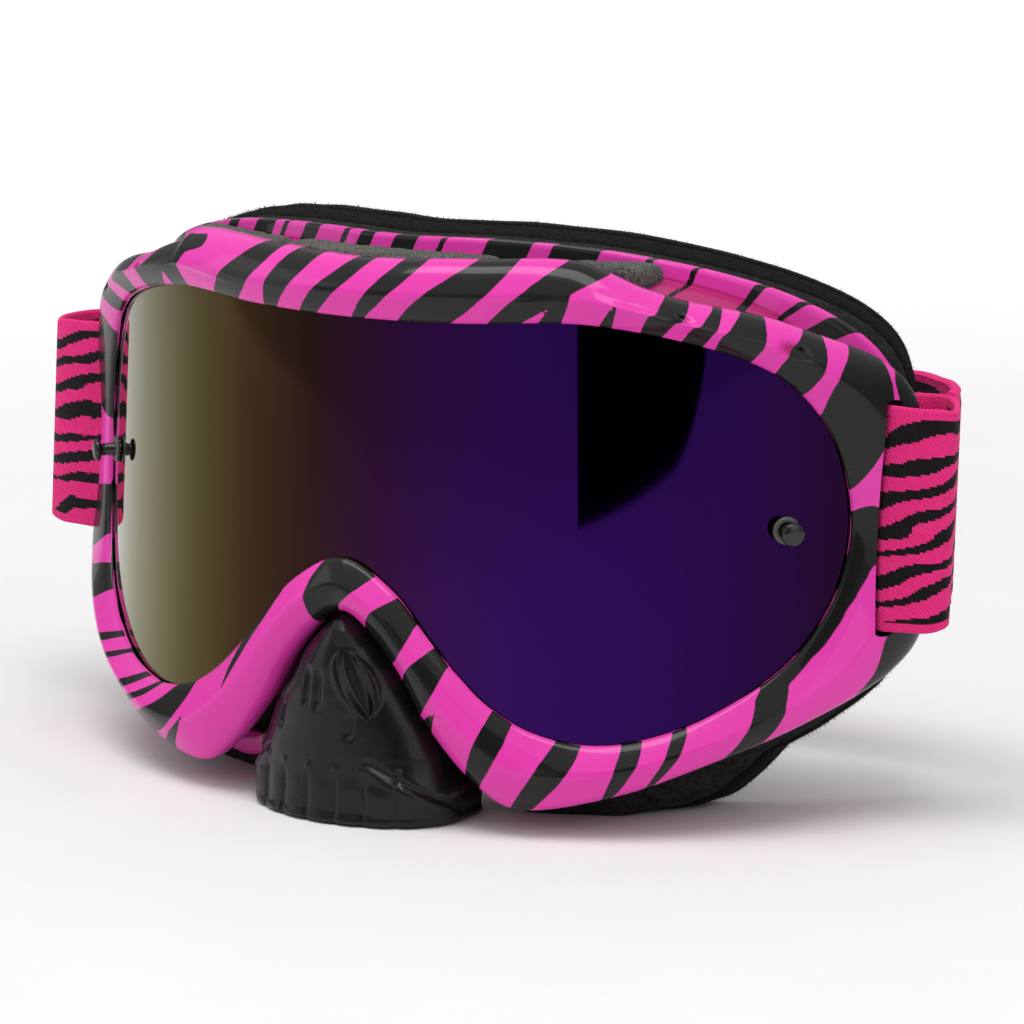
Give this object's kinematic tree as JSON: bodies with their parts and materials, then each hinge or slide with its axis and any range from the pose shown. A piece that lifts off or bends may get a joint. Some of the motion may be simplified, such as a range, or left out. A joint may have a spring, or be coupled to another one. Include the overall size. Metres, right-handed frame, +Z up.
{
  "type": "sports protective goggles",
  "caption": "Wrap-round sports goggles with a mirrored lens, striped glossy frame, layered face foam, nose guard and elastic strap.",
  "frame": {"origin": "on the resting surface, under the middle of the whole object's box", "axes": "+X across the goggles, -Y the way the lens faces, +Z up"},
  "size_m": [0.2012, 0.0944, 0.1081],
  "materials": {
    "shell": "gloss",
    "lens": "polished",
    "guard": "satin",
    "post": "gloss",
    "washer": "satin",
    "clip": "satin",
    "base_foam": "matte",
    "core_foam": "matte",
    "fleece": "matte",
    "vent_foam": "matte",
    "webbing": "matte",
    "buckle": "satin"
  },
  "bodies": {
    "goggles": {"foam_base": "base_foam", "foam_core": "core_foam", "foam_fleece": "fleece", "frame": "shell", "lens": "lens", "post_clip_left": "clip", "post_clip_right": "clip", "post_washer_left": "washer", "post_washer_right": "washer", "strap_loop_left": "webbing", "strap_loop_right": "webbing", "strap_side_left": "webbing", "strap_side_right": "webbing", "tearoff_post_left": "post", "tearoff_post_right": "post", "vent_filter_bottom_left": "vent_foam", "vent_filter_bottom_right": "vent_foam", "vent_filter_top_center": "vent_foam", "vent_filter_top_left": "vent_foam", "vent_filter_top_right": "vent_foam"},
    "guard": {"nose_guard": "guard"},
    "rear_strap": {"strap_rear_long": "webbing", "strap_rear_short": "webbing", "strap_ring": "buckle"},
    "slider": {"strap_slider": "buckle"}
  },
  "joints": [
    {"name": "strap_stretch", "type": "slide", "parent": "goggles", "child": "rear_strap", "axis": [0, 1, 0], "range_m": [0, 0.04], "stiffness_N_per_m": 80, "deforming": ["strap_side_left", "strap_side_right"]},
    {"name": "slider_adjust", "type": "slide", "parent": "rear_strap", "child": "slider", "axis": [1, 0, 0], "range_m": [0, 0.02]},
    {"name": "nose_guard_pull", "type": "slide", "parent": "goggles", "child": "guard", "axis": [0, -1, 0], "range_m": [0, 0.03]}
  ]
}
